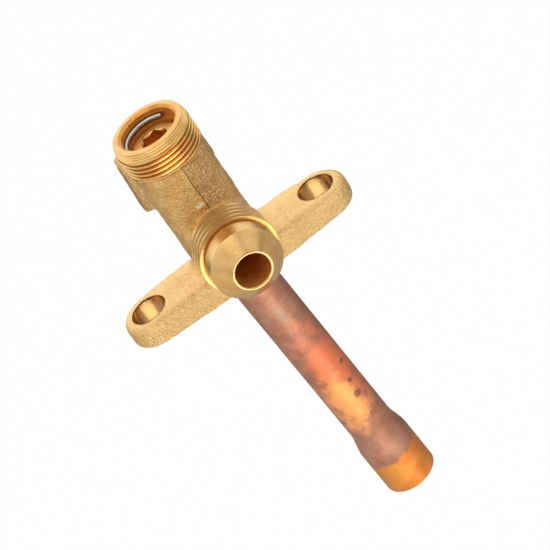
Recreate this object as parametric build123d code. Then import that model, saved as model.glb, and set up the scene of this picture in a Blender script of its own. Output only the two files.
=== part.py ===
"""Refrigerant service valve, 3/8 in flare: forged body, screw spindle, snap ring, brazed copper stub.

Millimetres. The origin is the centre of the mounting face under the flange, on the axis of the spindle.
+Z runs up the spindle and out of the cap port, the flare port leaves along -Y, the ears lie along X and
the copper stub leaves along -Z.
"""
from build123d import *
from math import cos, radians, sin, sqrt, tan
import os

os.makedirs("parts", exist_ok=True)

# ---- driving dimensions -------------------------------------------------------------------------------
EAR_PITCH = 40.0          # between the two ear holes
EAR_HOLE_D = 7.4
FLANGE_L = 51.6           # tip to tip
FLANGE_W = 13.0           # at the body
FLANGE_T = 5.5            # mounting face to the top of the flange, at the body
FLANGE_DRAFT = 0.8        # fall of the top, and taper of the width, from body to tip
FLANGE_EDGE_R = 1.6
PAD_L = 24.0              # machined pad that bears on the bracket
PAD_H = 0.35              # the ears stand this much clear of the mounting face
HOUSING_D = 15.0          # forged spindle housing
BLEND_R = 2.5             # housing to flange
RIM_Z = 38.3              # face of the cap port
CAP_THREAD_D = 15.9       # M16 x 1
CAP_THREAD_Z = (31.5, 36.1)
RIM_D = 14.8
FLARE_Z = 12.5            # height of the flare port's axis
FLARE_TIP_Y = 22.0        # nose of the flare from the spindle axis
FLARE_THREAD_D = 15.875   # 5/8-18 UNF
FLARE_PILOT_D = 14.6
FLARE_NOSE_D = 8.2
FLARE_BORE_D = 7.0
FLARE_CONE_ANGLE = 45.0   # half angle of the nose
FLARE_PILOT_L = 4.0       # plain pilot behind the cone
BOSS_LEFT, BOSS_RIGHT = 9.3, 7.7   # the holding flats from the spindle axis, at the foot
BOSS_LEAN = 0.7           # the left flat draws in by this much at the top
BOSS_CUT = 3.0            # cut across the right foot
BOSS_Z = (18.2, 31.0)
BOSS_Y = 11.0
TUBE_D = 9.52             # 3/8 in copper
TUBE_WALL = 0.8
TUBE_END_Z = 64.55        # open end of the stub below the mounting face
TUBE_TILT = 3.4           # degrees, leaning to +X
BRAZE_LEG = 1.3           # width of the filler at the mouth of the socket
SWAGE_START_Z = 47.8
SWAGE_END_Z = 54.3
TRAVEL = 5.5              # spindle, from open to closed
SEAT_Z = 8.5
SEAT_D = 6.5
SOCKET_L = 7.0            # depth of the socket that takes the stub
SPINDLE_HEAD_D = 10.3
SPINDLE_THREAD_D = 9.9
SPINDLE_TOP_GAP = 3.0     # cap port face down to the open spindle
HEX_AF = 5.0
RING_WIRE_D = 1.2
RING_GAP = (12.0, 47.0)   # degrees about +Z, the open part of the snap ring
# ---- clearances ---------------------------------------------------------------------------------------
RUN = 0.04                # radial, spindle to its bores
BRAZE_GAP = 0.04          # radial, stub to its socket
TOUCH = 0.02              # between seated parts


# ---- helpers ------------------------------------------------------------------------------------------
def turned(points):
    """Solid of revolution about Z from (radius, height) corners."""
    return revolve(Plane.XZ * make_face(Polyline(*points, close=True)), Axis.Z)


def rod(radius, low, high):
    """Cylinder about Z between two heights."""
    return Pos(0, 0, low) * Cylinder(radius, high - low, align=(Align.CENTER, Align.CENTER, Align.MIN))


def facing_front(shape):
    """Turns a shape made about Z, with +Z outwards, to leave the housing along -Y at the flare port."""
    return Pos(0, 0, FLARE_Z) * Rot(90, 0, 0) * shape


def save(shape, name):
    shape.label = name
    export_step(shape, f"parts/{name}.step")


# ---- bore stations down the spindle housing, shared by the body and the parts in it ------------------
ring_r = (SPINDLE_HEAD_D - 0.5 + RING_WIRE_D) / 2                # to the centre of the wire
groove_r = ring_r + RING_WIRE_D / 2 + TOUCH
spindle_top = RIM_Z - SPINDLE_TOP_GAP
ring_z = spindle_top + 0.3 + RING_WIRE_D / 2
groove_low, groove_high = ring_z - RING_WIRE_D / 2 - TOUCH, ring_z + RING_WIRE_D / 2 + TOUCH
mouth_r = groove_r - 0.35
seal_r = SPINDLE_HEAD_D / 2 + RUN
screw_r = SPINDLE_THREAD_D / 2 + RUN
head_l = 5.0
seal_low = spindle_top - head_l - TRAVEL - 0.6
seat_r = SEAT_D / 2
socket_r = TUBE_D / 2 + BRAZE_GAP
braze_r, braze_l = TUBE_D / 2 + BRAZE_LEG, BRAZE_LEG * 0.6           # countersink that holds the filler
screw_low = FLARE_Z + FLARE_BORE_D / 2 + 0.5


# ---- valve body ---------------------------------------------------------------------------------------
def flange():
    """Two-eared flange, crowned on top, fuller at the body than at its rounded tips, flat underneath."""
    tip_r = (FLANGE_W - 2 * FLANGE_DRAFT) / 2
    tip_x = FLANGE_L / 2 - tip_r
    side_r = (tip_x ** 2 + FLANGE_W ** 2 / 4 - tip_r ** 2) / (FLANGE_W - 2 * tip_r)
    reach = side_r / (side_r - tip_r)
    x, y = tip_x * reach, FLANGE_W / 2 - side_r + (side_r - FLANGE_W / 2) * reach
    plan = make_face(
        ThreePointArc((x, -y), (0, -FLANGE_W / 2), (-x, -y))
        + ThreePointArc((-x, -y), (-FLANGE_L / 2, 0), (-x, y))
        + ThreePointArc((-x, y), (0, FLANGE_W / 2), (x, y))
        + ThreePointArc((x, y), (FLANGE_L / 2, 0), (x, -y)))
    half, tip_top = FLANGE_L / 2 + 1, FLANGE_T - FLANGE_DRAFT
    side = make_face(
        ThreePointArc((half, tip_top), (0, FLANGE_T), (-half, tip_top))
        + Polyline((-half, tip_top), (-half, PAD_H), (half, PAD_H), (half, tip_top)))
    ears = extrude(plan, FLANGE_T + 1) & extrude(Plane.XZ * side, FLANGE_W, both=True)
    ears = fillet(ears.faces().sort_by(Axis.Z)[-1].edges(), FLANGE_EDGE_R)
    ears = fillet(ears.faces().sort_by(Axis.Z)[0].edges(), 0.6)
    pad = extrude(Rectangle(PAD_L, FLANGE_W) & plan, PAD_H + 1.0)
    return ears + chamfer(pad.faces().sort_by(Axis.Z)[0].edges(), 0.3)


def housing():
    """Spindle housing, forged below and turned for the cap thread above."""
    low, high = CAP_THREAD_Z
    thread_r, forged_r = CAP_THREAD_D / 2, HOUSING_D / 2
    return turned([
        (0, 1), (forged_r, 1), (forged_r, low - 0.3), (thread_r - 0.3, low - 0.3), (thread_r, low),
        (thread_r, high), (RIM_D / 2, RIM_Z), (0, RIM_Z)])


def flare_port():
    """Flare connection: plain neck, thread major diameter, pilot and 45 degree nose."""
    cone_l = (FLARE_PILOT_D - FLARE_NOSE_D) / 2 / tan(radians(FLARE_CONE_ANGLE))
    thread_r, pilot_r = FLARE_THREAD_D / 2, FLARE_PILOT_D / 2
    neck_r = thread_r - 0.6
    pilot_end = FLARE_TIP_Y - cone_l
    thread_end = pilot_end - FLARE_PILOT_L
    return facing_front(turned([
        (0, 0), (neck_r, 0), (neck_r, HOUSING_D / 2 + 1.1), (thread_r, HOUSING_D / 2 + 1.7), (thread_r, thread_end - 0.5),
        (pilot_r - 0.3, thread_end), (pilot_r - 0.3, thread_end + 0.4), (pilot_r, thread_end + 0.7),
        (pilot_r, pilot_end), (FLARE_NOSE_D / 2, FLARE_TIP_Y), (0, FLARE_TIP_Y)]))


def holding_boss():
    """Block on the back of the housing, held by a backing wrench. It swells out of the housing, stands a
    little to the left, and its foot rises to meet the wall."""
    low, high = BOSS_Z
    left, right, corner, reach = BOSS_LEFT, BOSS_RIGHT, 0.8, HOUSING_D / 2
    top_left = left - BOSS_LEAN
    front = make_face(Polyline(
        (-left, low + corner), (-left + corner, low), (right - BOSS_CUT * 1.3, low), (right, low + BOSS_CUT),
        (right, high - corner), (right - corner, high), (-top_left + corner, high), (-top_left, high - corner),
        close=True))
    plan = make_face(Polyline(
        (-left + 2.6, 0), (-left, 4), (-left, BOSS_Y), (right, BOSS_Y), (right, 4), (right - 1.2, 0),
        close=True))
    side = make_face(Polyline(
        (0, low + reach / 2), (BOSS_Y, low), (BOSS_Y, high + 1), (0, high + 1), close=True))
    block = (extrude(Plane.XZ * front, -BOSS_Y) & extrude(plan, high + 2)
             & extrude(Plane.YZ * side, left + 1, both=True))
    return chamfer(block.faces().sort_by(Axis.Y)[-1].edges(), 0.5)


def bores():
    """Everything cut from above and below along the spindle axis, and the flare bore."""
    stem = turned([
        (0, -1), (braze_r + TOUCH, -1), (braze_r + TOUCH, 0), (socket_r, braze_l), (socket_r, SOCKET_L),
        (seat_r, SOCKET_L),
        (seat_r, SEAT_Z), (screw_r, SEAT_Z), (screw_r, seal_low - 0.4), (seal_r, seal_low),
        (seal_r, groove_low), (groove_r, groove_low), (groove_r, groove_high), (mouth_r, groove_high),
        (mouth_r, RIM_Z - 0.5), (mouth_r + 0.55, RIM_Z + 0.05), (mouth_r + 0.55, RIM_Z + 1), (0, RIM_Z + 1)])
    flare = facing_front(turned([
        (0, 0), (FLARE_BORE_D / 2, 0), (FLARE_BORE_D / 2, FLARE_TIP_Y - 0.25),
        (FLARE_BORE_D / 2 + 0.3, FLARE_TIP_Y + 0.05), (FLARE_BORE_D / 2 + 0.3, FLARE_TIP_Y + 1),
        (0, FLARE_TIP_Y + 1)]))
    return stem, flare


def near_housing(edges, low, high):
    """The edges a feature shares with the forged housing, between two heights."""
    def on_wall(edge):
        here = edge.center()
        return abs(sqrt(here.X ** 2 + here.Y ** 2) - HOUSING_D / 2) < 0.6 and low < here.Z < high
    return edges.filter_by(lambda e: e.geom_type != GeomType.LINE and on_wall(e))


def valve_body():
    body = housing() + flange()
    body = fillet(near_housing(body.edges(), FLANGE_T - 0.8, FLANGE_T + 0.3), BLEND_R)
    body = body + holding_boss()
    body = body + flare_port()
    hole = rod(EAR_HOLE_D / 2, -1, FLANGE_T + 2)
    for cut in (*bores(), Pos(EAR_PITCH / 2, 0) * hole, Pos(-EAR_PITCH / 2, 0) * hole):
        body = body - cut
    return body


# ---- parts in and on the body -------------------------------------------------------------------------
def spindle():
    """Screw spindle in the open position: sealing head with a hex socket, thread, neck and seat cone."""
    head_r, screw, neck_r = SPINDLE_HEAD_D / 2, SPINDLE_THREAD_D / 2, 3.4
    head_low = spindle_top - head_l
    cone_low = SEAT_Z + TRAVEL
    cone_l = 1.6
    shape = turned([
        (0, cone_low - 0.4), (seat_r - 0.75, cone_low - 0.4), (seat_r + 0.25, cone_low + cone_l - 0.4),
        (seat_r + 0.25, cone_low + cone_l + 0.2), (neck_r, cone_low + cone_l + 0.4), (neck_r, screw_low + 1.2),
        (screw, screw_low + 2.2), (screw, head_low - 0.5), (screw - 0.6, head_low - 0.4),
        (screw - 0.6, head_low), (head_r, head_low), (head_r, o_ring_z - O_RING_D / 2 - 0.1),
        (o_ring_groove_r, o_ring_z - O_RING_D / 2 - 0.1), (o_ring_groove_r, o_ring_z + O_RING_D / 2 + 0.1),
        (head_r, o_ring_z + O_RING_D / 2 + 0.1), (head_r, spindle_top - 0.6), (head_r - 0.6, spindle_top),
        (0, spindle_top)])
    socket = RegularPolygon(HEX_AF / 2, 6, major_radius=False)
    well = extrude(Pos(0, 0, spindle_top - 3.2) * Rot(0, 0, 11) * socket, 4)
    lead = Pos(0, 0, spindle_top - 0.3) * Cone(
        HEX_AF / 2, HEX_AF / 2 + 0.75, 0.75, align=(Align.CENTER, Align.CENTER, Align.MIN))
    return shape - well - lead


O_RING_D = 1.5
o_ring_z = spindle_top - head_l / 2
o_ring_groove_r = seal_r - O_RING_D - TOUCH


def o_ring():
    """Spindle seal, between the groove floor and the sealing bore, its round section drawn with flats."""
    mean = (seal_r + o_ring_groove_r) / 2
    section = Plane.XZ * Pos(mean, o_ring_z) * RegularPolygon(O_RING_D / 2, 10)
    return revolve(section, Axis.Z)


def snap_ring():
    """Round wire stop in the groove above the spindle."""
    start, end = RING_GAP[1], RING_GAP[0] + 360
    path = Pos(0, 0, ring_z) * CenterArc((0, 0, 0), ring_r, start, end - start)
    section = Plane(origin=path @ 0, z_dir=path % 0) * Circle(RING_WIRE_D / 2)
    return sweep(section, path)


def tube_path():
    """Centre line of the stub from inside the socket to the start of the swage, and the plane there."""
    bend_z, bend_r = 2.2, 60.0
    straight = Line((0, 0, SOCKET_L - 0.1), (0, 0, -bend_z))
    lean = radians(TUBE_TILT)
    turn = Vector(bend_r * (1 - cos(lean)), 0, -bend_z - bend_r * sin(lean))
    bend = ThreePointArc(
        straight @ 1, (bend_r * (1 - cos(lean / 2)), 0, -bend_z - bend_r * sin(lean / 2)), turn)
    along = Vector(sin(lean), 0, -cos(lean))
    run = Line(turn, turn + along * ((SWAGE_START_Z + turn.Z) / cos(lean)))
    return straight + bend + run, Plane(origin=run @ 1, x_dir=(0, 1, 0), z_dir=along)


def copper_tube():
    """Copper stub: drawn tube with a slight lean and a swaged socket on its open end."""
    path, seat = tube_path()
    lean = cos(radians(TUBE_TILT))
    outer, inner = TUBE_D / 2, TUBE_D / 2 - TUBE_WALL
    wide = outer + BRAZE_GAP + 0.05
    grow = (SWAGE_END_Z - SWAGE_START_Z) / lean
    length = (TUBE_END_Z - SWAGE_START_Z) / lean
    start = Plane.XY.offset(SOCKET_L - 0.1)
    run = sweep(start * (Circle(outer) - Circle(inner)), path)
    skin = TUBE_WALL
    outside = Spline((outer, 0), (wide + skin, grow), tangents=((0, 1), (0, 1)))
    inside = Spline((inner, 0), (wide, grow), tangents=((0, 1), (0, 1)))
    lip = Polyline(
        outside @ 1, (wide + skin, length - 0.25), (wide + skin - 0.25, length), (wide + 0.15, length),
        (wide, length - 0.15), inside @ 1)
    wall = make_face(outside + lip + inside + Line((inner, 0), (outer, 0)))
    return run + seat * revolve(Plane.XZ * wall, Axis.Z)


def braze_fillet():
    """Ring of filler: it fills the countersunk mouth of the socket and draws down the stub."""
    inner, drop = TUBE_D / 2, BRAZE_LEG * 0.85
    curve = ThreePointArc((braze_r, 0), (inner + BRAZE_LEG * 0.3, -drop * 0.35), (inner, -drop))
    rest = Polyline((inner, -drop), (inner, braze_l - 2 * TOUCH), (braze_r, 0))
    return revolve(Plane.XZ * make_face(curve + rest), Axis.Z)


save(valve_body(), "valve_body")
save(spindle(), "spindle")
save(o_ring(), "spindle_o_ring")
save(snap_ring(), "snap_ring")
save(copper_tube(), "copper_tube")
save(braze_fillet(), "braze_fillet")
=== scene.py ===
import math

import bmesh
import bpy
import numpy as np
from mathutils import Matrix, Vector, noise


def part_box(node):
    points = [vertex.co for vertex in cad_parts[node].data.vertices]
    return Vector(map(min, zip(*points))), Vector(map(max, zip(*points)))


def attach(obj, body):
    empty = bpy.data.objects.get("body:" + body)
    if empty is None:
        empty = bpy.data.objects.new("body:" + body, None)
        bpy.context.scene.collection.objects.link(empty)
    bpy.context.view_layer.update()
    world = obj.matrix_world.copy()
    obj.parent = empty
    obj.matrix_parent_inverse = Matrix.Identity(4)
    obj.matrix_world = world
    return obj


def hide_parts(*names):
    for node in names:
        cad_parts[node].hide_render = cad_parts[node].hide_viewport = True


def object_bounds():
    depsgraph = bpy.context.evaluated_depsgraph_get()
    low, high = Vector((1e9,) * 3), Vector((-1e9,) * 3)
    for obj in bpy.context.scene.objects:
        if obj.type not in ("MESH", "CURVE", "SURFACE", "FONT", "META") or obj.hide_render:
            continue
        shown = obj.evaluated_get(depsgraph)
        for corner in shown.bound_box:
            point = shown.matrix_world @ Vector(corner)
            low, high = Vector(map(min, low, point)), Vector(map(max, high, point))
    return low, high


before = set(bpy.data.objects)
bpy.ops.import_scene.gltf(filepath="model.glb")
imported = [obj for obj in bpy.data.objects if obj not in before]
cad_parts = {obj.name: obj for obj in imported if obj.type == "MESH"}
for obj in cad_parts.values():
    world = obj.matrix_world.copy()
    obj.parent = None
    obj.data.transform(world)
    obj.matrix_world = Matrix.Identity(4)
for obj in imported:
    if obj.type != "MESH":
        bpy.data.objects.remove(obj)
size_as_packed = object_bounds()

MM = 0.001

# ==== Valve body ========================================================================================
# One brass hot forging. The spindle housing, flange, holding boss and the neck of the flare port keep the
# skin of the die: fine grain, slow waves, and a low step down the front where the two dies met. The cap
# port and the flare port are then turned and threaded, and the ear holes are drilled.

lowest, highest = ([round(edge / MM, 3) for edge in corner] for corner in size_as_packed)
EAR_TIP_X, BOSS_Y, RIM_Z = highest
FLARE_TIP = -lowest[1]

HOUSING_R, CHAMBER_R, CHAMBER_FLOOR_Z = 7.5, 5.6, 16.5
CAP_THREAD_Z, CAP_THREAD_R, CAP_PITCH, CAP_DEPTH = (31.45, 36.1), 7.95, 1.0, 0.64         # M16 x 1
RIM_R, MOUTH_R, SEAL_R, SEAL_FLOOR_Z = 7.4, 5.77, 5.19, 24.0
GROOVE_R, GROOVE_Z = 6.12, (35.58, 36.82)     # where the snap ring sits
FLARE_Z = 12.5
FLARE_THREAD_Y, FLARE_THREAD_R, FLARE_PITCH, FLARE_DEPTH = (8.9, 14.8), 7.94, 1.411, 0.84     # 5/8-18
FLARE_PILOT_R, FLARE_NOSE_R, FLARE_BORE_R, FLARE_BORE_Y = 7.3, 4.1, 3.5, 5.5
EAR_X, EAR_ROOT_X, EAR_HOLE_R = 20.0, 11.95, 3.7
EAR_TOP_LIFT, EAR_UNDER_DROP, BOSS_FULLNESS = 0.12, 0.28, 0.35      # over the plain solid
SEAM_X, SEAM_WANDER, SEAM_RATE = 0.55, 0.06, 0.9                    # x = 0.55 + 0.06 sin 0.9 z
SEAM_RIDGE, SEAM_STEP, SEAM_END_Z = 0.12, 0.20, 20.0
NIB_X, NIB_Z, NIB_LIFT = -0.55, 21.8, 0.42
DIE_CELL = 0.25                               # grid of the forged skin
SKIN_WAVES = (0.11, 0.22, 2, 0.0), (0.06, 0.8, 3, 7.0), (0.03, 2.0, 3, 3.0)   # height, rate, depth, seed


def smooth(low, high, x):
    """0 below low, 1 above high and an S between them."""
    t = np.clip((np.asarray(x, float) - low) / (high - low), 0.0, 1.0)
    return t * t * (3 - 2 * t)


def wave(points, rate, depth, seed):
    """Turbulence between about -1 and 1 at each point."""
    return np.array([noise.fractal(Vector(p) * rate + Vector((seed, seed, seed)), 1.0, 2.0, depth)
                     for p in points])


def solid_piece(name, mesh, body, slot, *nodes):
    """A finished piece in the scene: smooth, with its sharp edges kept, riding on its body."""
    piece = bpy.data.objects.new(name, mesh)
    bpy.context.scene.collection.objects.link(piece)
    mesh.shade_smooth()
    mesh.set_sharp_from_angle(angle=math.radians(38))
    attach(piece, body)
    if nodes:
        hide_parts(*nodes)
    return piece


def even_blank():
    """The solid body on an even grid, fine enough to carry the waves of the forging."""
    block = bpy.data.objects.new("forging_blank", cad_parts["valve_body"].data.copy())
    bpy.context.scene.collection.objects.link(block)
    weld = block.modifiers.new("weld", "WELD")
    weld.merge_threshold = 1e-6
    grid = block.modifiers.new("grid", "REMESH")
    grid.mode, grid.voxel_size, grid.adaptivity = "VOXEL", DIE_CELL * MM, 0.0
    even = block.modifiers.new("even", "SMOOTH")
    even.factor, even.iterations = 0.5, 2
    bpy.context.view_layer.update()
    mesh = bpy.data.meshes.new_from_object(block.evaluated_get(bpy.context.evaluated_depsgraph_get()))
    bpy.data.objects.remove(block)
    return mesh


def die_formed(x, y, z):
    """1 where the skin is as forged, and 0 in the drilled holes, in the bores and under the flange."""
    drilled = 1 - smooth(EAR_HOLE_R + 0.1, EAR_HOLE_R + 0.7, np.hypot(np.abs(x) - EAR_X, y))
    inside = (1 - smooth(6.0, 6.6, np.hypot(x, y))) * smooth(0.2, 0.8, z) + (1 - smooth(0.3, 0.8, z))
    along_flare = (1 - smooth(FLARE_BORE_R + 0.2, FLARE_BORE_R + 0.9, np.hypot(x, z - FLARE_Z))) * (y < 0)
    return np.clip(1 - drilled - inside - along_flare, 0, 1)


def die_relief(at):
    """How far the forged skin stands off the plain solid: waves, the ridge and step of the parting line,
    the small nib beside it and the full shoulder of the boss."""
    x, y, z = at.T
    relief = sum(height * wave(at, rate, depth, seed) for height, rate, depth, seed in SKIN_WAVES)
    front = smooth(2.0, 4.5, -y)
    above = smooth(SEAM_END_Z, SEAM_END_Z + 0.8, z) * front
    seam_x = SEAM_X + SEAM_WANDER * np.sin(z * SEAM_RATE)
    ridge = np.exp(-((x - seam_x + 0.25) / 0.30) ** 2)
    step = smooth(seam_x - 0.10, seam_x + 0.22, x) * (1 - smooth(2.5, 6.0, x))
    relief = relief + above * (SEAM_RIDGE * ridge - SEAM_STEP * step)
    relief = relief + above * step * 0.05 * wave(at, 3.2, 2, 11.0)
    nib = np.exp(-(((x - NIB_X) / 0.85) ** 4 + ((z - NIB_Z) / 0.55) ** 4))
    relief = relief + front * NIB_LIFT * nib
    shoulder = smooth(6.6, 7.4, x) * smooth(3.0, 4.5, y) * smooth(21.0, 23.0, z)
    return relief + BOSS_FULLNESS * shoulder


def forged_skin():
    """The die-formed surfaces of the body, open where the two turned ports and the bore take over."""
    mesh = even_blank()
    bm = bmesh.new()
    bm.from_mesh(mesh)
    cap_foot, flare_foot = (CAP_THREAD_Z[0] + 0.35) * MM, (FLARE_THREAD_Y[0] + 0.4) * MM
    turned = [v for v in bm.verts
              if v.co.z > cap_foot or v.co.y < -flare_foot
              or (math.hypot(v.co.x, v.co.y) < CHAMBER_R * MM and v.co.z > CHAMBER_FLOOR_Z * MM)]
    bmesh.ops.delete(bm, geom=turned, context="VERTS")
    bm.normal_update()
    at = np.array([v.co[:] for v in bm.verts]) / MM
    out = np.array([v.normal[:] for v in bm.verts])
    x, y, z = at.T
    moved = at + out * (die_relief(at) * die_formed(x, y, z))[:, None]
    ear = smooth(EAR_ROOT_X, EAR_ROOT_X + 0.15, np.abs(x))
    moved[:, 2] += ear * (EAR_TOP_LIFT * smooth(3.0, 4.2, z) - EAR_UNDER_DROP * (1 - smooth(0.4, 1.4, z)))
    moved[:, 0] = np.clip(moved[:, 0], -EAR_TIP_X, EAR_TIP_X)
    moved[:, 1] = np.minimum(moved[:, 1], BOSS_Y)
    for vertex, place in zip(bm.verts, moved):
        vertex.co = Vector(place) * MM
    bm.to_mesh(mesh)
    bm.free()
    return mesh


def turned_wall(outline, thread, steps=240):
    """Wall turned about Z from (radius, height) corners. The thread, given as (low, high, crest radius,
    pitch, depth), takes the place of the straight run between the corners at its two heights."""
    low, high, crest, pitch, depth = thread
    groove = np.array([0.0, 0.0, 0.38, 0.76, 1.0, 0.76, 0.38, 0.0])        # one pitch, crest to crest
    cut = len(groove)
    rows, around = [], np.linspace(0, 1, steps + 1)
    for radius, height in outline:
        rows.append((np.full(steps + 1, radius), np.full(steps + 1, height)))
        if height == low:
            for i in range(int((high - low) / pitch * cut) + cut + 1):
                h = np.clip(low + pitch * (i / cut - 1 + around), low, high)
                fade = smooth(low, low + 0.5 * pitch, h) * (1 - smooth(high - 0.45 * pitch, high, h))
                rows.append((crest - depth * groove[i % cut] * fade, h))
    radius = np.array([r for r, _ in rows])
    height = np.array([h for _, h in rows])
    turn = 2 * math.pi * around
    corners = np.stack([radius * np.cos(turn), radius * np.sin(turn), height], -1).reshape(-1, 3) * MM
    width = steps + 1
    faces = [(i * width + j, i * width + j + 1, (i + 1) * width + j + 1, (i + 1) * width + j)
             for i in range(len(rows) - 1) for j in range(steps)]
    mesh = bpy.data.meshes.new("turned_wall")
    mesh.from_pydata(corners.tolist(), [], faces)
    bm = bmesh.new()
    bm.from_mesh(mesh)
    bmesh.ops.remove_doubles(bm, verts=bm.verts, dist=2e-6)
    bmesh.ops.dissolve_degenerate(bm, edges=bm.edges, dist=1e-6)
    bm.to_mesh(mesh)
    bm.free()
    return mesh


def bore_faces(mesh, radius):
    """Gives the faces within the radius of Z the second finish of the piece."""
    for face in mesh.polygons:
        if math.hypot(face.center.x, face.center.y) < radius * MM:
            face.material_index = 1


def cap_port(tool_lines=8, line_depth=0.20):
    """Threaded top of the housing, with coarse tool lines round its lead-in cone and the bore inside."""
    low, high = CAP_THREAD_Z
    taper, rise = CAP_THREAD_R - RIM_R - 0.05, RIM_Z - 0.35 - high
    cone = [(CAP_THREAD_R + 0.05 - taper * i / tool_lines - line_depth * (i % 2),
             high + 0.12 + rise * i / tool_lines) for i in range(1, tool_lines)]
    return turned_wall([
        (HOUSING_R - 0.4, low - 0.4), (CAP_THREAD_R - 0.25, low - 0.4), (CAP_THREAD_R, low),
        (CAP_THREAD_R, high), (CAP_THREAD_R - 0.03, high + 0.12), *cone, (RIM_R + 0.04, RIM_Z - 0.2),
        (RIM_R - 0.25, RIM_Z), (MOUTH_R + 0.55, RIM_Z), (MOUTH_R, RIM_Z - 0.5), (MOUTH_R, GROOVE_Z[1]),
        (GROOVE_R, GROOVE_Z[1]), (GROOVE_R, GROOVE_Z[0]), (SEAL_R, GROOVE_Z[0]), (SEAL_R, SEAL_FLOOR_Z)],
        (low, high, CAP_THREAD_R, CAP_PITCH, CAP_DEPTH))


def flare_port():
    """Threaded flare port, standing on Z: relief, pilot, 45 degree cone, narrow nose ring and bore."""
    low, high = FLARE_THREAD_Y
    cone = FLARE_PILOT_R - FLARE_NOSE_R
    return turned_wall([
        (FLARE_THREAD_R - 0.9, low - 1.0), (FLARE_THREAD_R - 0.5, low - 0.3), (FLARE_THREAD_R, low),
        (FLARE_THREAD_R, high), (FLARE_PILOT_R - 0.25, high + 0.15), (FLARE_PILOT_R - 0.25, high + 0.35),
        (FLARE_PILOT_R, high + 0.55), (FLARE_PILOT_R, FLARE_TIP - cone - 0.05),
        (FLARE_NOSE_R + 0.08, FLARE_TIP - 0.14), (FLARE_NOSE_R - 0.05, FLARE_TIP - 0.03),
        (FLARE_NOSE_R - 0.18, FLARE_TIP), (FLARE_BORE_R + 0.22, FLARE_TIP - 0.02),
        (FLARE_BORE_R + 0.06, FLARE_TIP - 0.16), (FLARE_BORE_R, FLARE_TIP - 0.4),
        (FLARE_BORE_R, FLARE_BORE_Y)],
        (low, high, FLARE_THREAD_R, FLARE_PITCH, FLARE_DEPTH))


class Wire:
    """One output of a shader node. Arithmetic on wires adds Math nodes to the same finish."""

    def __init__(self, finish, socket):
        self.finish, self.socket = finish, socket

    def _with(self, operation, *others):
        return self.finish.add("ShaderNodeMath", {"operation": operation},
                               dict(enumerate((self, *others))))["Value"]

    def __add__(self, other):
        return self._with("ADD", other)

    def __sub__(self, other):
        return self._with("SUBTRACT", other)

    def __mul__(self, other):
        return self._with("MULTIPLY", other)

    def __truediv__(self, other):
        return self._with("DIVIDE", other)

    def __pow__(self, other):
        return self._with("POWER", other)

    def __neg__(self):
        return self * -1.0

    def __rsub__(self, other):
        return (-self) + other

    __radd__, __rmul__ = __add__, __mul__

    def size(self):
        return self._with("ABSOLUTE")

    def sine(self):
        return self._with("SINE")

    def most(self, other):
        return self._with("MAXIMUM", other)

    def over(self, low, high):
        """0 where this is below low, 1 above high, with a soft edge."""
        return self.finish.add("ShaderNodeMapRange", {"interpolation_type": "SMOOTHSTEP"},
                               {"Value": self, "From Min": low, "From Max": high})["Result"]


class Finish:
    """A material, or a world, built node by node."""

    def __init__(self, name, kind="materials"):
        self.block = getattr(bpy.data, kind).new(name)
        self.block.use_nodes = True
        self.nodes, self.links = self.block.node_tree.nodes, self.block.node_tree.links
        self.nodes.clear()

    def add(self, kind, settings=None, sockets=None):
        """One node: its type, its settings, then a value or a wire for each socket named."""
        node = self.nodes.new(kind)
        for name, value in (settings or {}).items():
            setattr(node, name, value)
        for name, value in (sockets or {}).items():
            if isinstance(value, Wire):
                self.links.new(value.socket, node.inputs[name])
            elif isinstance(value, tuple) and len(value) == 3 and node.inputs[name].type == "RGBA":
                node.inputs[name].default_value = (*value, 1)
            else:
                node.inputs[name].default_value = value
        return {out.name: Wire(self, out) for out in node.outputs if out.enabled}

    def place(self):
        """Where on the piece, in millimetres, as one vector."""
        here = self.add("ShaderNodeTexCoord")["Object"]
        return self.add("ShaderNodeVectorMath", {"operation": "SCALE"}, {0: here, "Scale": 1 / MM})["Vector"]

    def axes(self, here):
        """The same place as separate X, Y and Z."""
        return self.add("ShaderNodeSeparateXYZ", {}, {"Vector": here})

    def grain(self, here, scale, detail=3.0, rough=0.6, warp=0.0):
        """Noise between 0 and 1, scale being its cells in a millimetre."""
        return self.add("ShaderNodeTexNoise", {}, {
            "Vector": here, "Scale": scale, "Detail": detail, "Roughness": rough, "Distortion": warp})["Fac"]

    def blend(self, share, first, second):
        """The first colour where the share is 0 and the second where it is 1."""
        return self.add("ShaderNodeMix", {"data_type": "RGBA"}, {0: share, 6: first, 7: second})["Result"]

    def bump(self, height, distance, strength=1.0):
        """A normal tilted by the height, of which 1 stands that many millimetres high."""
        return self.add("ShaderNodeBump", {}, {
            "Height": height, "Distance": distance * MM, "Strength": strength})["Normal"]

    def close(self, **sockets):
        """Ends the finish in one Principled shader."""
        names = {name.replace("_", " "): value for name, value in sockets.items()}
        shader = self.add("ShaderNodeBsdfPrincipled", {}, names)["BSDF"]
        self.add("ShaderNodeOutputMaterial", {}, {"Surface": shader})
        return self.block


def radius_about(first, second):
    """Distance from the axis that the two coordinates are measured from."""
    return (first ** 2 + second ** 2) ** 0.5


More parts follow.
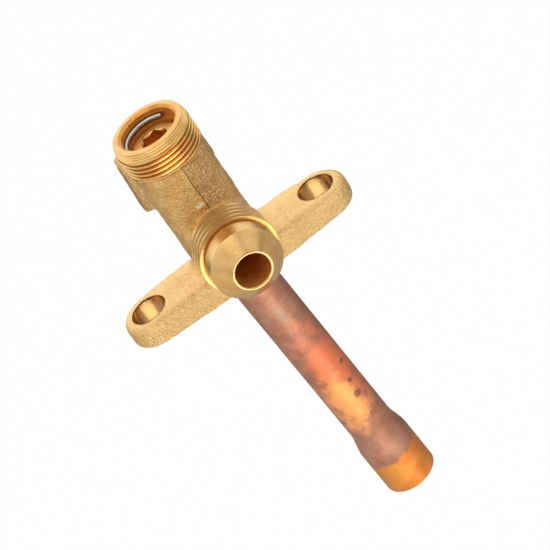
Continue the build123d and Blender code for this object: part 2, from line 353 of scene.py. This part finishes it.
def forged_brass():
    """Skin of the die: shot-blasted grain and clouds of redder scale, with painted glints on the grain's
    peaks and painted shade in its hollows. The grain is ruggedest just right of the parting line, where
    these are strongest, and the drilled ear holes are smooth, with painted shade darkening them."""
    dull, pale, scale = (0.76, 0.455, 0.155), (0.90, 0.59, 0.24), (0.66, 0.33, 0.10)
    hollow_shade, glint, flange = (0.50, 0.25, 0.07), (1.0, 0.82, 0.44), (1.0, 0.69, 0.30)
    crease_shade, nib_highlight, drilled = (0.26, 0.12, 0.035), (1.0, 0.84, 0.50), (0.44, 0.245, 0.085)
    finish = Finish("forged brass")
    here = finish.place()
    axis = finish.axes(here)
    x, y, z = axis["X"], axis["Y"], axis["Z"]
    cloud = finish.grain(here, 0.16, 3.0, 0.55, 0.6)
    patch = finish.grain(here, 0.55, 4.0, 0.6)
    fine = finish.grain(here, 2.3, 3.0, 0.7)
    front = (-y).over(1.5, 4.0) * z.over(SEAM_END_Z - 1.0, SEAM_END_Z + 1.0)
    back = y.over(1.0, 5.0)
    sparkle = front * x.over(0.4, 0.9) * (1.0 - 0.7 * x.over(3.5, 6.5))
    painted_grain_light = (0.22 + 0.60 * sparkle) * (1.0 - 0.6 * back)
    foot = x - (SEAM_X + 0.07) - SEAM_WANDER * (SEAM_RATE * z).sine()
    parting = front * (1.0 - foot.size().over(0.06, 0.20))
    nib = front * (1.0 - (x - NIB_X).size().over(0.7, 1.0)) * (1.0 - (z - NIB_Z).size().over(0.4, 0.6))
    hole = 1.0 - radius_about(x.size() - EAR_X, y).over(EAR_HOLE_R, EAR_HOLE_R + 0.1)
    colour = finish.blend(cloud.over(0.38, 0.66), dull, pale)
    colour = finish.blend(patch.over(0.50, 0.72) * 0.5, colour, scale)
    # painted shade and glints: where the fine noise that also raises the bump is low, the grain is painted
    # darker as shade in its hollows; where it is high, it is painted bright as glints
    colour = finish.blend((1.0 - fine.over(0.36, 0.50)) * painted_grain_light, colour, hollow_shade)
    colour = finish.blend(fine.over(0.53, 0.62) * painted_grain_light, colour, glint)
    # painted light: the flange, below 5 to 8 mm up, is painted brighter gold, standing for the light from
    # the front and below
    colour = finish.blend((1.0 - z.over(5.0, 8.0)) * 0.5, colour, flange)
    # painted shade: a dark line along the foot of the parting line's step, in its crease
    colour = finish.blend(parting * 0.75, colour, crease_shade)
    # painted highlight: the small nib is painted bright, as its facet catching the light
    colour = finish.blend(nib * 0.9, colour, nib_highlight)
    # painted shade: the drilled ear holes are painted darker brown, as shade inside them
    colour = finish.blend(hole, colour, drilled)
    polish = (0.09 + 0.07 * sparkle) * fine.over(0.50, 0.64)
    rough = (0.31 + 0.16 * patch - polish) * (1.0 - hole) + 0.22 * hole
    relief = (fine + finish.grain(here, 1.3, 3.0, 0.6)) * (1.0 - 0.9 * hole) * (0.70 + 0.45 * sparkle)
    relief = relief * (1.0 - 0.5 * back)
    return finish.close(Base_Color=colour, Metallic=1.0, Roughness=rough, Normal=finish.bump(relief, 0.60))


def turned_brass(name, across, colour=(0.70, 0.415, 0.14), light=(0.77, 0.50, 0.20), groove=None):
    """Brass off the lathe. across gives the coordinate that the tool marks run across, and groove how far
    down a thread a point lies, where painted shade darkens the thread's roots."""
    finish = Finish(name)
    here = finish.place()
    axis = finish.axes(here)
    marks = finish.add("ShaderNodeTexNoise", {"noise_dimensions": "1D"}, {
        "W": across(axis), "Scale": 7.0, "Detail": 4.0, "Roughness": 0.7})["Fac"]
    cloud = finish.grain(here, 0.35)
    tint = finish.blend(cloud.over(0.35, 0.7), colour, light)
    if groove:
        # painted shade: the thread's roots are painted dark brown
        tint = finish.blend(groove(axis), tint, (0.50, 0.20, 0.03))
    return finish.close(Base_Color=tint, Metallic=1.0, Roughness=0.17 + 0.12 * marks + 0.07 * cloud,
                        Normal=finish.bump(marks, 0.05, 0.38))


def bored_brass():
    """The wall of a drilled hole, painted redder and darker brown than the turned brass as painted shade
    inside the bore.
    """
    finish = Finish("bored brass")
    stain = finish.grain(finish.place(), 0.8, 4.0)
    return finish.close(
        Base_Color=finish.blend(stain.over(0.35, 0.65), (0.66, 0.25, 0.04), (0.80, 0.38, 0.07)),
        Metallic=0.6, Roughness=0.28 + 0.2 * stain, Normal=finish.bump(stain, 0.05, 0.4))


def cap_thread_root_shade(axis):
    """1 at the root of the cap thread and 0 at its crest and above it: how much painted shade darkens it."""
    root = 1.0 - radius_about(axis["X"], axis["Y"]).over(7.45, 7.9)
    return root * (1.0 - axis["Z"].over(CAP_THREAD_Z[1] - 0.1, CAP_THREAD_Z[1] + 0.2))


def flare_thread_root_shade(axis):
    """1 at the root of the flare thread and 0 at its crest and on either side of it: how much painted shade
    darkens it.
    """
    root = 1.0 - radius_about(axis["X"], axis["Z"] - FLARE_Z).over(7.2, 7.85)
    along, (low, high) = -axis["Y"], FLARE_THREAD_Y
    return root * along.over(low - 0.9, low - 0.3) * (1.0 - along.over(high + 0.3, high + 0.7))


forging = solid_piece("forged_body", forged_skin(), "body", "forged_brass", "valve_body")
forging.data.materials.clear()
forging.data.materials.append(forged_brass())

bore_finish = bored_brass()
cap_mesh = cap_port()
bore_faces(cap_mesh, GROOVE_R + 0.02)
cap = solid_piece("cap_port", cap_mesh, "body", "forged_brass")
cap.data.materials.append(turned_brass(
    "turned cap port", lambda axis: axis["Z"], (0.71, 0.41, 0.13), (0.78, 0.50, 0.19), cap_thread_root_shade))
cap.data.materials.append(bore_finish)

flare_mesh = flare_port()
bore_faces(flare_mesh, FLARE_BORE_R + 0.02)
flare_mesh.transform(Matrix.Translation((0, 0, FLARE_Z * MM)) @ Matrix.Rotation(math.pi / 2, 4, "X"))
flare = solid_piece("flare_port", flare_mesh, "body", "forged_brass")
flare.data.materials.append(turned_brass(
    "turned flare port", lambda axis: axis["Y"], groove=flare_thread_root_shade))
flare.data.materials.append(bore_finish)

# ==== Spindle ===========================================================================================
# Brass screw turned from bar, with a hex socket broached into its sealing head. A hex key turns it down
# onto the seat to close the valve.

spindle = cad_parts["spindle"]
spindle.data.materials.clear()
# painted shade: the spindle's brass is painted darker and more orange than the turned ports', as the shade
# of the chamber it sits in
spindle.data.materials.append(turned_brass(
    "turned spindle", lambda axis: radius_about(axis["X"], axis["Y"]),
    (0.64, 0.34, 0.085), (0.74, 0.43, 0.13)))

# ==== Spindle seal ======================================================================================
# Moulded nitrile O-ring in the groove of the spindle's head, damp with refrigeration oil. It slides with
# the spindle and does not turn.

rubber = Finish("nitrile rubber")
speckle = rubber.grain(rubber.place(), 3.0, 4.0)
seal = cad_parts["spindle_o_ring"]
seal.data.materials.clear()
seal.data.materials.append(rubber.close(
    Base_Color=rubber.blend(speckle, (0.018, 0.018, 0.019), (0.035, 0.034, 0.034)),
    Roughness=0.35 + 0.2 * speckle, Normal=rubber.bump(speckle, 0.02, 0.5)))

# ==== Snap ring =========================================================================================
# Round spring-steel wire, coiled and cut, sprung into the groove above the spindle to keep it from being
# screwed right out.

RING_R, WIRE_R = 5.56, 0.46
RING_ENDS = (47.0, 338.0)                     # degrees about +Z, the wire's two cut ends
RING_Z = round(sum(corner[2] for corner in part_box("snap_ring")) / 2 / MM, 3)


def bent_wire(steps=96, sides=20):
    """Wire of round section bent round Z, its cut ends slightly broken at the edge."""
    ends = [(0.0, 0.0), (0.0, 0.82), (0.012, 1.0)]            # share of the length, share of the radius
    run = [(t, 1.0) for t in np.linspace(0.03, 0.97, steps)]
    section = [math.tau * k / sides for k in range(sides)]
    bm = bmesh.new()
    loops = []
    for along, share in ends + run + [(1 - t, r) for t, r in reversed(ends)]:
        turn = math.radians(RING_ENDS[0] + (RING_ENDS[1] - RING_ENDS[0]) * along)
        outward = Vector((math.cos(turn), math.sin(turn), 0))
        loops.append([bm.verts.new((outward * (RING_R + WIRE_R * share * math.cos(q))
                                    + Vector((0, 0, RING_Z + WIRE_R * share * math.sin(q)))) * MM)
                      for q in section])
    for first, second in zip(loops, loops[1:]):
        for k in range(sides):
            bm.faces.new((first[k], second[k], second[(k + 1) % sides], first[(k + 1) % sides]))
    bmesh.ops.remove_doubles(bm, verts=bm.verts, dist=1e-7)
    bm.normal_update()
    bmesh.ops.recalc_face_normals(bm, faces=bm.faces)
    mesh = bpy.data.meshes.new("bent_wire")
    bm.to_mesh(mesh)
    bm.free()
    return mesh


steel = Finish("drawn spring steel")
draw = steel.grain(steel.place(), 5.0, 4.0)
ring = solid_piece("snap_wire", bent_wire(), "body", "spring_steel", "snap_ring")
ring.data.materials.append(steel.close(
    Base_Color=steel.blend(draw, (0.42, 0.42, 0.44), (0.58, 0.58, 0.60)), Metallic=1.0,
    Roughness=0.20 + 0.12 * draw, Normal=steel.bump(draw, 0.01, 0.4)))

# ==== Copper stub =======================================================================================
# Drawn copper tube, brazed into the body at one end and swaged into a socket at the other. The torch left
# it mauve-brown, redder and then bare where the flame played on the front, with a smear of flux near the
# body and scorch spots. Its right side is painted darker brown as painted shade. The socket's end was
# cleaned bright.

TUBE_TILT = math.radians(3.4)                 # the stub leans towards +X
CLEAN_DEPTH = (56.8, 57.8)                    # millimetres below the flange
SCORCHES = (29.4, 3.0, 0.4), (33.8, 2.0, 0.6), (37.4, 1.6, 0.85)        # depth, across, radius
OXIDE, PALE_OXIDE, SCORCH_AND_SIDE_SHADE = (0.40, 0.16, 0.09), (0.49, 0.23, 0.145), (0.20, 0.07, 0.04)
FLAME_RED, BARE, SOOT = (0.82, 0.20, 0.07), (1.0, 0.42, 0.12), (0.10, 0.05, 0.035)
FLUX, BRIGHT, BRIGHT_RED = (0.34, 0.30, 0.20), (0.90, 0.34, 0.07), (0.80, 0.25, 0.05)

copper = Finish("heat-stained copper")
here = copper.place()
axis = copper.axes(here)
depth = -axis["Z"]
side = axis["X"] - math.tan(TUBE_TILT) * depth
front = (-axis["Y"]).over(-1.0, 2.0)
cloud = copper.grain(here, 0.16, 4.0, 0.6, 0.8)
blotch = copper.grain(here, 0.45, 4.0, 0.62)
speck = copper.grain(here, 2.6, 3.0, 0.7)


def patch(middle, length, across, width, low, high):
    """1 within a ragged oval on the front of the stub, fading to 0 outside it."""
    away = radius_about((depth - middle) / length, (side - across) / width)
    return (1.0 - (away + 1.8 * (0.5 - cloud) + 1.2 * (0.5 - blotch)).over(low, high)) * front


skin = copper.blend((0.5 * cloud + 0.5 * blotch).over(0.40, 0.60), OXIDE, PALE_OXIDE)
flame = patch(29.5, 14.0, 0.8, 5.5, 0.3, 1.2) * (0.55 + 0.6 * speck.over(0.35, 0.65))
skin = copper.blend(flame, skin, FLAME_RED)
skin = copper.blend(patch(38.5, 9.0, -1.4, 4.2, 0.35, 1.1) * 0.9, skin, BARE)
skin = copper.blend(patch(47.5, 4.0, 0.6, 2.6, 0.4, 1.0) * 0.6, skin, OXIDE)
skin = copper.blend(patch(11.0, 2.2, -0.4, 1.0, 0.3, 1.3) * 0.5, skin, FLUX)
# painted shade: the right side of the stub is painted darker brown; the same colour serves the real scorch
# spots below
skin = copper.blend((side + 3.0 * blotch).over(3.6, 7.4) * 0.5, skin, SCORCH_AND_SIDE_SHADE)
for middle, across, radius in SCORCHES:
    skin = copper.blend(patch(middle, radius, across, radius, 0.6, 1.3) * 0.8, skin, SCORCH_AND_SIDE_SHADE)
skin = copper.blend(speck.over(0.70, 0.76) * 0.6, skin, SOOT)
clean = (depth + 1.4 * blotch + 0.16 * axis["X"]).over(*CLEAN_DEPTH)
skin = copper.blend(clean, skin, copper.blend(cloud.over(0.4, 0.6), BRIGHT, BRIGHT_RED))

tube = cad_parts["copper_tube"]
tube.data.materials.clear()
tube.data.materials.append(copper.close(
    Base_Color=skin, Metallic=0.55 + 0.4 * clean, Roughness=0.34 - 0.06 * clean + 0.16 * blotch,
    Normal=copper.bump(blotch * 0.7 + speck * 0.3, 0.06, 0.5)))

# ==== Braze fillet ======================================================================================
# Silver-bearing filler that ran into the countersunk mouth of the body's socket and froze round the stub.

filler = Finish("brazing alloy")
bead = filler.grain(filler.place(), 0.9, 4.0)
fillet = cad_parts["braze_fillet"]
fillet.data.materials.clear()
fillet.data.materials.append(filler.close(
    Base_Color=filler.blend(bead.over(0.4, 0.65), (0.62, 0.42, 0.22), (0.50, 0.27, 0.17)), Metallic=0.9,
    Roughness=0.35 + 0.25 * bead, Normal=filler.bump(bead, 0.12, 0.7)))

# ==== Studio ============================================================================================
# A white sweep well below the valve, whose glow seen in reflections is painted: dark behind the valve,
# brighter ahead and brightest in a band in front. Three broad soft boxes above it and a bounce card lying in
# front, and a long lens with the camera turned on its side so that the spindle leans to the left.

FLOOR_Z, FLOOR_HALF = -0.16, 6.0
AZIMUTH, ELEVATION, LEAN = -2.58, 33.81, 34.96
DISTANCE, LENS = 0.6422, 216.5
AIM_RIGHT, AIM_DOWN = 5.897, 1.687            # millimetres from the frame's origin to the point aimed at
VALVE, CARD = (0, 0, 0), (-0.03, -0.36, FLOOR_Z + 0.005)
OVERHEAD = Vector((-0.15, 0.80, 0.58)).normalized()           # where the sky is brightest
SKY_DIM, SKY_GAIN = 0.42, 0.95

scene = bpy.context.scene
floor_mesh = bpy.data.meshes.new("floor")
floor_mesh.from_pydata([(x * FLOOR_HALF, y * FLOOR_HALF, FLOOR_Z)
                        for x, y in ((-1, -1), (1, -1), (1, 1), (-1, 1))], [], [(0, 1, 2, 3)])
floor = bpy.data.objects.new("floor", floor_mesh)
scene.collection.objects.link(floor)


def seen_by(finish, *rays):
    """1 for the kinds of ray named and 0 for every other."""
    path = finish.add("ShaderNodeLightPath")
    share = path[rays[0]]
    for ray in rays[1:]:
        share = share.most(path[ray])
    return share


paper = Finish("white paper")
axis = paper.axes(paper.place())
ahead = -0.2 * axis["X"] - axis["Y"]          # millimetres in front of the valve, a little to the left
# painted light: in reflections the floor glows dark behind the valve, brighter ahead and brightest in a band
# in front; the camera sees it white
painted_floor_glow = paper.blend(ahead.over(-260.0, 150.0), (0.20, 0.18, 0.17), (0.88, 0.86, 0.82))
near = ahead.over(140.0, 240.0) * (1.0 - ahead.over(500.0, 1000.0))
painted_floor_glow = paper.blend(near, painted_floor_glow, (1.0, 0.98, 0.96))
painted_floor_glow = paper.blend(seen_by(paper, "Is Camera Ray"), painted_floor_glow, (1.0, 1.0, 1.0))
plain = paper.add("ShaderNodeBsdfDiffuse", {}, {"Color": (0.86, 0.86, 0.86)})["BSDF"]
glow = paper.add("ShaderNodeEmission", {}, {"Color": painted_floor_glow, "Strength": 1.0})["Emission"]
share = seen_by(paper, "Is Camera Ray", "Is Glossy Ray", "Is Transmission Ray") * 0.97
mixed = paper.add("ShaderNodeMixShader", {}, {0: share, 1: plain, 2: glow})["Shader"]
paper.add("ShaderNodeOutputMaterial", {}, {"Surface": mixed})
floor.data.materials.append(paper.block)


def soft_box(name, place, aim, width, height, power):
    """Rectangular lamp facing from one place to another, in metres."""
    lamp = bpy.data.lights.new(name, "AREA")
    lamp.shape, lamp.size, lamp.size_y, lamp.energy = "RECTANGLE", width, height, power
    box = bpy.data.objects.new(name, lamp)
    box.location = place
    box.rotation_euler = (Vector(aim) - Vector(place)).to_track_quat("-Z", "Y").to_euler()
    scene.collection.objects.link(box)


soft_box("key", (-0.49, -0.41, 0.30), VALVE, 0.5, 0.5, 0.25)
soft_box("fill", (0.49, -0.34, 0.37), VALVE, 0.5, 0.45, 0.35)
soft_box("top", (-0.05, -0.29, 0.63), VALVE, 0.45, 0.35, 0.45)
soft_box("bounce card", CARD, (CARD[0], CARD[1], 0), 0.34, 0.36, 1.0)

room = Finish("studio", "worlds")
way = room.add("ShaderNodeTexCoord")["Generated"]
toward = room.add("ShaderNodeVectorMath", {"operation": "DOT_PRODUCT"}, {0: way, 1: OVERHEAD})["Value"]
level = toward.over(-0.6, 1.0) * SKY_GAIN + SKY_DIM
soft = room.add("ShaderNodeBackground", {}, {"Color": (0.97, 0.98, 1.0), "Strength": level})["Background"]
backdrop = room.add("ShaderNodeBackground", {}, {"Color": (1.0, 1.0, 1.0)})["Background"]
behind = seen_by(room, "Is Camera Ray", "Is Transmission Ray")
sky = room.add("ShaderNodeMixShader", {}, {0: behind, 1: soft, 2: backdrop})["Shader"]
room.add("ShaderNodeOutputWorld", {}, {"Surface": sky})
scene.world = room.block

lens = bpy.data.cameras.new("camera")
lens.lens, lens.sensor_width = LENS, 36.0
lens.clip_start, lens.clip_end = 0.05, 20
turn, rise, roll = (math.radians(angle) for angle in (AZIMUTH, ELEVATION, LEAN))
back = Vector((math.sin(turn) * math.cos(rise), -math.cos(turn) * math.cos(rise), math.sin(rise)))
flat = Vector((math.cos(turn), math.sin(turn), 0))
above = back.cross(flat)
right = flat * math.cos(roll) - above * math.sin(roll)
up = flat * math.sin(roll) + above * math.cos(roll)
stand = Matrix((right, up, back)).transposed().to_4x4()
stand.translation = back * DISTANCE + (right * AIM_RIGHT - up * AIM_DOWN) * MM
camera = bpy.data.objects.new("camera", lens)
camera.matrix_world = stand
scene.collection.objects.link(camera)
scene.camera = camera
scene.view_settings.view_transform = "Standard"
